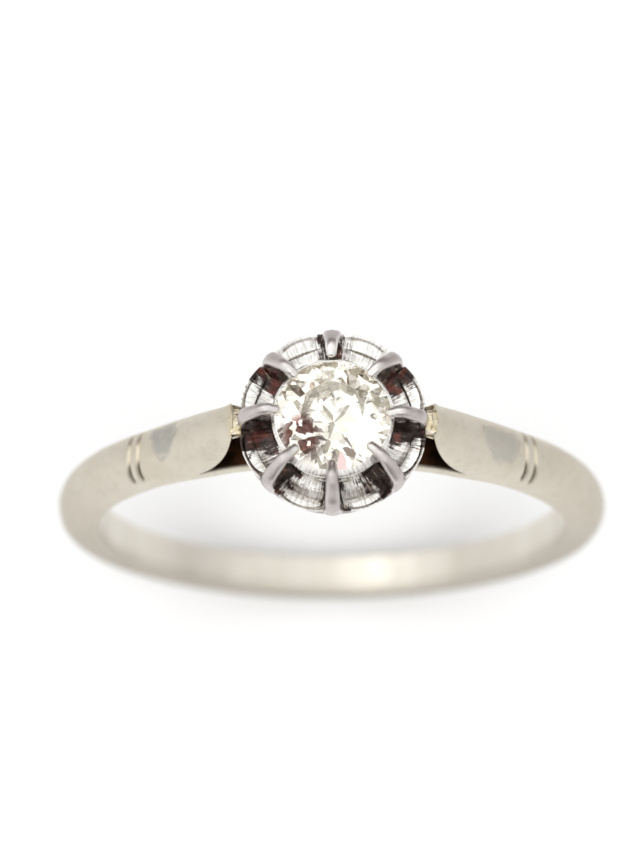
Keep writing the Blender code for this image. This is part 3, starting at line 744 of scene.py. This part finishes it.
def cut_facet(bm, turn, angle, point):
    """Grinds one flat onto the stone. Its normal leans this angle from the vertical: past 90 faces down."""
    tilt = Vector((math.sin(angle), 0.0, math.cos(angle)))
    spin = Matrix.Rotation(turn, 3, "Z")
    everything = bm.verts[:] + bm.edges[:] + bm.faces[:]
    bmesh.ops.bisect_plane(
        bm, geom=everything, dist=1e-7, plane_co=spin @ Vector(point), plane_no=spin @ tilt, clear_outer=True
    )
    bmesh.ops.edgeloop_fill(bm, edges=[edge for edge in bm.edges if edge.is_boundary])


def diamond():
    """The old-cut stone. Each flat is a little off its ideal angle, as on a stone cut by eye."""
    rng = random.Random(7)

    def by_eye(angle):
        return angle + math.radians(rng.uniform(-ANGLE_ERROR, ANGLE_ERROR))

    table_height = GIRDLE_THICKNESS + (STONE_RADIUS - TABLE_RADIUS) * math.tan(CROWN_ANGLE)
    eighth, half = math.pi / 4, math.pi / 8
    table_side = TABLE_RADIUS * math.cos(half)
    star_fall, main_fall = math.tan(STAR_ANGLE), math.tan(CROWN_ANGLE) * math.cos(half)
    top = GIRDLE_THICKNESS + STONE_RADIUS * math.tan(CROWN_ANGLE)
    meet = (top - table_height - table_side * star_fall) / (main_fall - star_fall)
    meet_height = table_height - (meet - table_side) * star_fall
    upper_angle = math.atan2(meet_height - GIRDLE_THICKNESS, STONE_RADIUS - meet * math.cos(half / 2))
    seam = STONE_RADIUS * 0.40
    seam_depth = (STONE_RADIUS - seam * math.cos(half)) * math.tan(PAVILION_ANGLE)
    lower_angle = math.atan2(seam_depth, STONE_RADIUS - seam * math.cos(half / 2))
    culet_depth = -(STONE_RADIUS - CULET_RADIUS) * math.tan(PAVILION_ANGLE)

    bm = bmesh.new()
    bmesh.ops.create_cone(
        bm, cap_ends=True, segments=128, radius1=STONE_RADIUS, radius2=STONE_RADIUS, depth=4 * STONE_RADIUS
    )
    cut_facet(bm, 0, 0, (0, 0, table_height))
    cut_facet(bm, 0, math.pi, (0, 0, culet_depth))
    for index in range(8):
        turn = index * eighth
        cut_facet(bm, turn, by_eye(CROWN_ANGLE), (STONE_RADIUS, 0, GIRDLE_THICKNESS))
        cut_facet(bm, turn + UNDERSIDE_TWIST, math.pi - by_eye(PAVILION_ANGLE), (STONE_RADIUS, 0, 0))
        cut_facet(bm, turn + half, by_eye(STAR_ANGLE), (table_side, 0, table_height))
    for index in range(16):
        turn = (index + 0.5) * half
        cut_facet(bm, turn, by_eye(upper_angle), (STONE_RADIUS, 0, GIRDLE_THICKNESS))
        cut_facet(bm, turn + UNDERSIDE_TWIST, math.pi - by_eye(lower_angle), (STONE_RADIUS, 0, 0))
    bmesh.ops.rotate(bm, verts=bm.verts, matrix=Matrix.Rotation(STONE_TURN, 3, "Z"))
    bmesh.ops.translate(bm, verts=bm.verts, vec=(0, 0, HEAD_HEIGHT + GIRDLE_HEIGHT))
    bmesh.ops.recalc_face_normals(bm, faces=bm.faces)
    mesh = bpy.data.meshes.new("diamond_fine")
    bm.to_mesh(mesh)
    bm.free()
    layer = mesh.attributes.new("underside", "FLOAT", "FACE")
    layer.data.foreach_set("value", [float(face.normal.z < 0.2) for face in mesh.polygons])
    return link(bpy.data.objects.new("diamond_fine", mesh))


def solder_seam(side):
    """The lumpy seam of solder between the head and a leaf."""
    low, high = SOLDER_LOW.z - HEAD_HEIGHT, SOLDER_HIGH.z - HEAD_HEIGHT + 0.13 * MM
    middle = mix(low, high, 0.6)
    loops = []
    for turn in np.linspace(-SOLDER_HALF_ANGLE, SOLDER_HALF_ANGLE, 40):
        fullness = max(math.cos(turn / SOLDER_HALF_ANGLE * math.pi / 2), 0.015) ** 0.5
        lump = 1 + 0.45 * wave(turn * 14, side * 3.7, 0.3)
        spill = 1 + 0.9 * wave(turn * 22, side * 5.1, 2.3)
        bottom, crest = mix(middle, low, fullness), mix(middle, high, fullness * lump)
        inner = SOLDER_INNER_RADIUS - 0.10 * MM * fullness
        outer = LEAF_END_RADIUS + 0.12 * MM * fullness * spill
        outline = ((inner, bottom), (outer, mix(bottom, crest, 0.3)), (outer, crest), (inner, crest))
        section = soft_corners(outline, 0.12 * MM, steps=6)
        loops.append(around(section[:, 0], turn, section[:, 1]))
    centre = np.array((3.25 * MM, 0, HEAD_HEIGHT + 1.4 * MM))
    loops = hand_wobble(loops, centre, 0.30, 0.06, 31 + side)
    loops = hand_wobble(loops, centre, 0.11, 0.022, 41 + side)
    loops[..., 0] *= side
    return skin(f"solder_{SIDE_WORDS[side]}", loops)


# ---- materials


class Graph:
    """The nodes of a material or a world. add() makes one, sets its inputs and returns one of its outputs."""

    def __init__(self, owner, output="OutputMaterial", coordinates="Object", scale=1 / MM):
        owner.use_nodes = True
        self.owner = owner
        self.tree = owner.node_tree
        self.tree.nodes.clear()
        self.output = self.tree.nodes.new("ShaderNode" + output)
        place = self.add("TexCoord", output=coordinates)
        self.place = self.add("VectorMath", {0: place, "Scale": scale}, operation="SCALE")

    def put(self, socket, value):
        if isinstance(value, bpy.types.NodeSocket):
            self.tree.links.new(value, socket)
        elif isinstance(value, tuple) and socket.type == "RGBA":
            socket.default_value = (*value, 1.0)
        else:
            socket.default_value = value

    def add(self, kind, inputs=None, output=0, **settings):
        node = self.tree.nodes.new("ShaderNode" + kind)
        for key, value in settings.items():
            setattr(node, key, value)
        for key, value in (inputs or {}).items():
            self.put(node.inputs[key], value)
        return node.outputs[output]

    def show(self, surface):
        self.tree.links.new(surface, self.output.inputs["Surface"])
        return self.owner

    def mark(self, name):
        return self.add("Attribute", output="Fac", attribute_name=name)

    def axis(self, index):
        return self.add("SeparateXYZ", {0: self.place}, output=index)

    def ray(self, kind):
        return self.add("LightPath", output=kind)

    def math(self, operation, *values):
        return self.add("Math", dict(enumerate(values)), operation=operation)

    def times(self, first, *others):
        for other in others:
            first = self.math("MULTIPLY", first, other)
        return first

    def plus(self, first, *others):
        for other in others:
            first = self.math("ADD", first, other)
        return first

    def noise(self, scale, detail=3.0, roughness=0.5, place=None):
        inputs = {"Vector": place or self.place, "Scale": scale, "Detail": detail, "Roughness": roughness}
        return self.add("TexNoise", inputs)

    def band(self, value, low, high):
        """0 below low, 1 above high, smooth between them. low may be above high, which turns it round."""
        inputs = {"Value": value, "From Min": low, "From Max": high}
        return self.add("MapRange", inputs, interpolation_type="SMOOTHSTEP")

    def blend(self, share, first, second, how="MIX"):
        node = self.tree.nodes.new("ShaderNodeMix")
        node.data_type = "RGBA"
        node.blend_type = how
        for key, value in {"Factor": share, "A": first, "B": second}.items():
            self.put(next(s for s in node.inputs if s.name == key and s.enabled), value)
        return next(s for s in node.outputs if s.enabled)

    def paint(self, new, *shares):
        """Turns the colour so far this share of the way to a new one. Several shares are multiplied."""
        self.colour = self.blend(self.times(*shares), self.colour, new)

    def ramp(self, value, stops, how="LINEAR"):
        """The colour that belongs to a value, from stops of (value, colour)."""
        out = self.add("ValToRGB", {0: value})
        ramp = out.node.color_ramp
        ramp.interpolation = how
        while len(ramp.elements) < len(stops):
            ramp.elements.new(0.5)
        for element, (position, colour) in zip(ramp.elements, stops):
            element.position = position
            element.color = (*colour, 1.0)
        return out

    def scratches(self, angle, density, seed):
        """Fine straight lines that come and go, lying along this angle in the object's XY plane."""
        turning = {"Vector": self.place, "Rotation": (0.0, 0.0, angle), "Location": (seed, seed * 0.7, 0.0)}
        turned = self.add("Mapping", turning)
        stretched = self.add("Mapping", {"Vector": turned, "Scale": (density, 0.6, 0.6)})
        lines = self.noise(1.0, detail=1.0, place=stretched)
        thin = self.band(self.math("ABSOLUTE", self.math("SUBTRACT", lines, 0.5)), 0.012, 0.0)
        return self.times(thin, self.band(self.noise(1.3, detail=1.0, place=turned), 0.52, 0.62))

    def dirt_and_shade(self, reach, low, high):
        """1 deep in a crevice and 0 in the open, by how open it is within this many mm: where dirt and
        painted shade go.
        """
        inputs = {"Distance": reach * MM}
        open_share = self.add("AmbientOcclusion", inputs, output="AO", samples=8)
        return self.band(open_share, high, low)

    def metal(self, roughness, height, strength, depth):
        """A metal of the colour so far, with bumps this many mm deep."""
        bump = self.add("Bump", {"Height": height, "Strength": strength, "Distance": depth * MM})
        inputs = {"Base Color": self.colour, "Roughness": roughness, "Metallic": 1.0, "Normal": bump}
        return self.show(self.add("BsdfPrincipled", inputs))


def satin_gold():
    """Worn white gold: warm grey, faintly mottled, scratched and pitted, with yellow and painted light in the
    cuts.
    """
    g = Graph(bpy.data.materials.new("satin_white_gold"))
    fine = g.noise(3.2, detail=5.0, roughness=0.65)
    broad = g.band(g.noise(0.55, detail=2.0), 0.35, 0.65)
    g.colour = g.blend(broad, (0.655, 0.60, 0.50), (0.69, 0.645, 0.555))
    g.paint((0.56, 0.52, 0.44), g.band(fine, 0.45, 0.8), 0.6)
    worn = g.mark("patch")
    patch = g.times(worn, g.band(g.noise(2.2), 0.0, 0.45))
    g.paint((0.46, 0.455, 0.43), patch, 0.80)
    outline = g.times(g.band(worn, 0.04, 0.16), g.band(worn, 0.40, 0.18))
    outline = g.times(outline, g.band(g.noise(1.4, detail=2.0), 0.45, 0.60))
    g.paint((0.36, 0.35, 0.33), outline, 0.45)
    lines = g.math("MAXIMUM", g.scratches(0.5, 26.0, 3.1), g.scratches(-0.9, 30.0, 9.4))
    lines = g.math("MAXIMUM", lines, g.scratches(1.45, 22.0, 5.2))
    g.paint((0.42, 0.38, 0.32), lines, 0.30)
    cells = g.add("TexVoronoi", {"Vector": g.place, "Scale": 5.5}, output="Distance")
    pits = g.times(g.band(cells, 0.11, 0.06), g.band(g.noise(1.6, detail=2.0), 0.46, 0.58))
    g.paint((0.28, 0.25, 0.20), pits, 0.65)
    # Painted shade: the hoop darkens towards its back, where it stands on the floor
    g.paint((0.42, 0.385, 0.325), g.mark("back"), 0.82)
    polished = g.mark("finger")
    crossed = g.add("Mapping", {"Vector": g.place, "Scale": (1.0, 0.12, 1.0)})
    streak = g.band(g.noise(1.1, place=crossed), 0.36, 0.62)
    g.paint(g.blend(streak, (0.75, 0.71, 0.63), (0.80, 0.765, 0.69)), polished)
    g.paint((0.46, 0.42, 0.36), polished, g.band(g.axis(1), -0.10, -0.85), 0.65)
    flooded = g.plus(g.mark("flooded"), g.times(g.plus(g.noise(7.0), -0.5), 2.2))
    flooded = g.times(g.band(flooded, 0.55, 0.95), g.band(g.mark("flooded"), 0.02, 0.30))
    g.paint((0.68, 0.61, 0.44), flooded, 0.6)
    groove = g.mark("groove")
    # In the cuts: yellow, lightened as a painted highlight; their deep part on the front half is painted
    # shade
    g.paint((0.82, 0.745, 0.59), g.band(groove, 0.05, 0.6), 0.8)
    g.paint((0.09, 0.075, 0.055), g.band(groove, 0.25, 0.75), g.mark("slit_shade"), 0.9)
    # Rust and painted shade: dark brown under the leaves and on the bridge's top
    rust_and_shade = g.blend(g.band(g.noise(1.8), 0.4, 0.7), (0.040, 0.017, 0.009), (0.17, 0.062, 0.02))
    g.paint(rust_and_shade, g.mark("crevice"), 0.96)
    roughness = g.plus(0.38, g.times(fine, 0.14), g.times(patch, 0.10), g.times(lines, 0.12))
    roughness = g.plus(roughness, g.times(polished, -0.12))
    height = g.plus(g.times(fine, 0.5), g.times(g.noise(14.0, detail=4.0), 0.35))
    height = g.plus(height, g.times(pits, -0.9), g.times(lines, -0.4))
    return g.metal(roughness, height, 0.55, 0.008)


def claw_metal():
    """Grey metal with a faint pink cast, brushed along the claw, worn bright and painted with highlights at
    its tip and edges.
    """
    g = Graph(bpy.data.materials.new("claw_white_gold"))
    fine = g.noise(9.0, detail=5.0, roughness=0.7)
    broad = g.band(g.noise(1.6, detail=2.0), 0.3, 0.7)
    g.colour = g.blend(broad, (0.52, 0.475, 0.465), (0.64, 0.60, 0.585))
    # Tip and edges painted lighter: wear and painted highlights
    worn = g.math("MAXIMUM", g.mark("tip"), g.times(g.mark("edge"), 0.35))
    g.paint((0.93, 0.91, 0.89), worn, 0.9)
    # Dirt and painted shade where the claw is hemmed in
    g.paint((0.12, 0.08, 0.065), g.dirt_and_shade(0.35, 0.15, 0.6), 0.7)
    brushed = g.add("Mapping", {"Vector": g.place, "Scale": (1.0, 1.0, 0.12)})
    roughness = g.plus(0.36, g.times(fine, 0.16), g.times(worn, -0.20))
    height = g.plus(g.times(fine, 0.6), g.times(g.noise(30.0, place=brushed), 0.5))
    return g.metal(roughness, height, 0.5, 0.008)


def mirror_cut():
    """Bright-cut metal: a mirror with fine strokes that fan out from the stone, and painted dark reflections
    between them.
    """
    g = Graph(bpy.data.materials.new("mirror_cut_white_gold"))
    x, y = g.axis(0), g.axis(1)
    turn = g.math("ARCTAN2", y, x)
    out = g.math("SQRT", g.plus(g.math("POWER", x, 2.0), g.math("POWER", y, 2.0)))

    def fan(around_head, outwards):
        return g.add("CombineXYZ", {"X": g.times(turn, around_head), "Y": g.times(out, outwards)})

    wide = fan(16.0, 0.7)
    strokes = g.noise(1.6, detail=4.0, roughness=0.7, place=wide)
    g.colour = g.blend(g.band(strokes, 0.3, 0.6), (0.62, 0.59, 0.54), (0.96, 0.95, 0.93))
    # Dirt and painted shade in the corners of the scoops, none on the collet
    corners = g.times(g.dirt_and_shade(0.3, 0.10, 0.45), g.band(g.noise(2.6, place=wide), 0.30, 0.6))
    unclean = g.math("SUBTRACT", 1.0, g.mark("clean"))
    g.paint((0.13, 0.075, 0.05), corners, unclean, 0.7)
    # Painted dark reflections over part of each scoop: near-black with red-brown glints and a painted sheen
    hairs = g.noise(1.0, detail=4.0, roughness=0.7, place=fan(60.0, 1.1))
    edge = g.times(g.plus(hairs, g.noise(3.0), -1.0), 0.66)
    dark_reflection = g.band(g.plus(g.mark("dark_reflection"), edge), 0.47, 0.58)
    red = g.band(g.noise(2.0, detail=1.0), 0.50, 0.72)
    reflection_black = g.blend(red, (0.030, 0.018, 0.014), (0.11, 0.026, 0.018))
    sheen = g.noise(1.0, detail=4.0, roughness=0.7, place=fan(20.0, 2.0))
    reflection_black = g.blend(g.times(g.band(sheen, 0.56, 0.70), 0.55), reflection_black, (0.46, 0.36, 0.29))
    g.paint(reflection_black, dark_reflection, 0.97)
    roughness = g.plus(0.05, g.times(g.band(strokes, 0.5, 0.8), 0.10))
    height = g.plus(strokes, g.times(g.noise(7.0, detail=2.0), 0.35))
    return g.metal(roughness, height, 0.6, 0.03)


def solder():
    """Pale yellow solder, lumpy and a little pitted."""
    g = Graph(bpy.data.materials.new("yellow_solder"))
    broad = g.noise(4.0)
    fine = g.noise(22.0)
    g.colour = g.blend(g.band(broad, 0.40, 0.60), (0.70, 0.61, 0.41), (0.60, 0.55, 0.46))
    g.paint((0.24, 0.16, 0.08), g.band(g.noise(6.0), 0.56, 0.70), 0.75)
    # Dirt and painted shade in the solder's hollows
    g.paint((0.20, 0.12, 0.05), g.dirt_and_shade(0.2, 0.1, 0.5), 0.7)
    roughness = g.plus(0.16, g.times(fine, 0.2))
    return g.metal(roughness, g.plus(broad, g.times(fine, 0.3)), 0.4, 0.02)


def diamond_glass():
    """Clear, strongly refracting and faintly warm, with painted shade and dark reflections on the facets that
    the eye meets first, and a painted glow.
    """
    g = Graph(bpy.data.materials.new("diamond"))
    g.colour = g.blend(g.band(g.noise(0.8, detail=1.0), 0.3, 0.7), (1.0, 1.0, 0.99), (1.0, 0.99, 0.965))
    cells = {"Vector": g.place, "Scale": 3.4}
    facets = g.add("TexVoronoi", cells, output="Color", distance="MANHATTAN")
    shade = g.add("SeparateColor", {0: facets})
    other_shade = shade.node.outputs[1]
    behind = g.band(g.axis(1), -0.5, 0.5)
    grey = g.times(g.band(shade, 0.2, 0.9), g.plus(0.10, g.times(behind, 0.90)))
    first = g.ray("Is Camera Ray")
    # Painted shade: facets greyed at random, most on the back half, only where the camera's ray first meets
    # the stone
    g.paint((0.60, 0.585, 0.55), grey, 0.85, first)
    corner = {0: g.place, 1: DARK_FACETS_AT}
    away = g.add("VectorMath", corner, output="Value", operation="DISTANCE")
    # Painted dark reflections on the facets near DARK_FACETS_AT, where the camera's ray first meets them
    dark = g.times(g.band(away, 1.15, 0.45), g.band(other_shade, 0.36, 0.42))
    g.paint((0.10, 0.035, 0.03), dark, 0.95, first)
    inside = g.add("NewGeometry", output="Backfacing")
    ior = g.plus(STONE_IOR, g.times(g.mark("underside"), inside, UNDERSIDE_IOR_GAIN))
    glass = g.add("BsdfGlass", {"Color": g.colour, "Roughness": 0.0, "IOR": ior})
    # Painted glow: past STONE_DEPTH bounces the glass gives way to cream light
    glow = g.add("Emission", {"Color": g.blend(grey, *STONE_GLOW)})
    deep = g.math("GREATER_THAN", g.ray("Ray Depth"), STONE_DEPTH)
    return g.show(g.add("MixShader", {0: deep, 1: glass, 2: glow}))


def floor_finish():
    """Pale, faintly glossy board."""
    g = Graph(bpy.data.materials.new("pale_floor"))
    colour = g.blend(g.noise(0.02, detail=2.0), (0.90, 0.90, 0.90), (0.93, 0.93, 0.93))
    inputs = {"Base Color": colour, "Roughness": 0.40, "Specular IOR Level": 0.2}
    return g.show(g.add("BsdfPrincipled", inputs))


# ---- stage


def floor():
    bm = bmesh.new()
    bmesh.ops.create_circle(bm, cap_ends=True, segments=96, radius=FLOOR_RADIUS)
    mesh = bpy.data.meshes.new("floor")
    bm.to_mesh(mesh)
    bm.free()
    mesh.materials.append(floor_finish())
    link(bpy.data.objects.new("floor", mesh))


def direction(azimuth, elevation):
    """Unit vector to a place round the head. Azimuth 0 is on the camera's side, and 90 on the +X side."""
    a, e = math.radians(azimuth), math.radians(elevation)
    return Vector((math.sin(a) * math.cos(e), -math.cos(a) * math.cos(e), math.sin(e)))


def add_patch(g, tent, azimuth, elevation, inner, outer, colour):
    """Lays one soft round patch of light over the tent."""
    facing = {0: g.place, 1: direction(azimuth, elevation)}
    nearness = g.add("VectorMath", facing, output="Value", operation="DOT_PRODUCT")
    mask = g.band(nearness, math.cos(math.radians(outer)), math.cos(math.radians(inner)))
    return g.blend(mask, tent, colour)


def world():
    """A white tent seen by the metal and the stone. The camera itself sees a plain pale backdrop.

    The stone sees the tent broken into patches, so that its many small reflections differ from one another.
    """
    made = bpy.data.worlds.new("studio")
    g = Graph(made, "OutputWorld", "Generated", 1.0)
    tent = g.ramp(g.axis(2), TENT_WALL)
    for patch in TENT_PATCHES:
        tent = add_patch(g, tent, *patch)
    cells = g.add("TexVoronoi", {"Vector": g.place, "Scale": TENT_CELLS}, output="Color")
    sparkle = g.blend(1.0, tent, g.ramp(cells, TENT_CELL_COLOURS, "CONSTANT"), "MULTIPLY")
    light = g.add("Background", {"Color": tent})
    seen_by = (
        ("Is Transmission Ray", sparkle, TENT_CELL_GAIN),
        ("Is Diffuse Ray", TENT_FOR_FLOOR, 1.0),
        ("Is Camera Ray", BACKDROP, 1.0),
    )
    for ray, colour, strength in seen_by:
        other = g.add("Background", {"Color": colour, "Strength": strength})
        light = g.add("MixShader", {0: g.ray(ray), 1: light, 2: other})
    bpy.context.scene.world = g.show(light)


def floor_light():
    """A broad soft box overhead that lights the floor and leaves no mark in the metal."""
    data = bpy.data.lights.new("overhead", "AREA")
    data.shape = "DISK"
    data.size = FLOOR_LIGHT_SIZE
    data.energy = FLOOR_LIGHT_POWER
    made = link(bpy.data.objects.new("overhead", data))
    made.location = FLOOR_LIGHT_PLACE
    made.rotation_euler = made.location.to_track_quat("Z", "Y").to_euler()
    made.visible_camera = False
    made.visible_glossy = False
    made.visible_transmission = False


def camera():
    data = bpy.data.cameras.new("camera")
    data.lens = CAMERA_LENS
    data.clip_start = CAMERA_NEAR
    data.clip_end = CAMERA_FAR
    made = link(bpy.data.objects.new("camera", data))
    back = direction(0, CAMERA_ELEVATION)
    made.location = CAMERA_TARGET + back * CAMERA_DISTANCE
    made.rotation_mode = "QUATERNION"
    made.rotation_quaternion = (-back).to_track_quat("-Z", "Y")
    focus = link(bpy.data.objects.new("focus", None))
    focus.location = (0, 0, HEAD_HEIGHT + RIM_HEIGHT)
    data.dof.use_dof = True
    data.dof.focus_object = focus
    data.dof.aperture_fstop = CAMERA_FSTOP
    bpy.context.scene.camera = made


def build():
    gold = satin_gold(), "white_gold"
    wire = claw_metal(), "claw_metal"
    mirror = mirror_cut(), "polished_metal"
    yellow = solder(), "solder_metal"
    finish_piece(shank(), *gold)
    for side in SIDE_WORDS:
        finish_piece(shoulder(side), *gold)
    finish_piece(bridge(), *gold)
    finish_piece(base_ring(), *wire)
    finish_piece(gallery_rail(), *wire)
    finish_piece(illusion_plate(), *mirror)
    finish_piece(collet(), *mirror)
    for index in range(1, CLAW_COUNT + 1):
        finish_piece(claw(index), *wire)
    finish_piece(diamond(), diamond_glass(), "stone")
    for side in SIDE_WORDS:
        finish_piece(solder_seam(side), *yellow)


build()
floor()
world()
floor_light()
camera()
bpy.context.scene.view_settings.view_transform = "Standard"
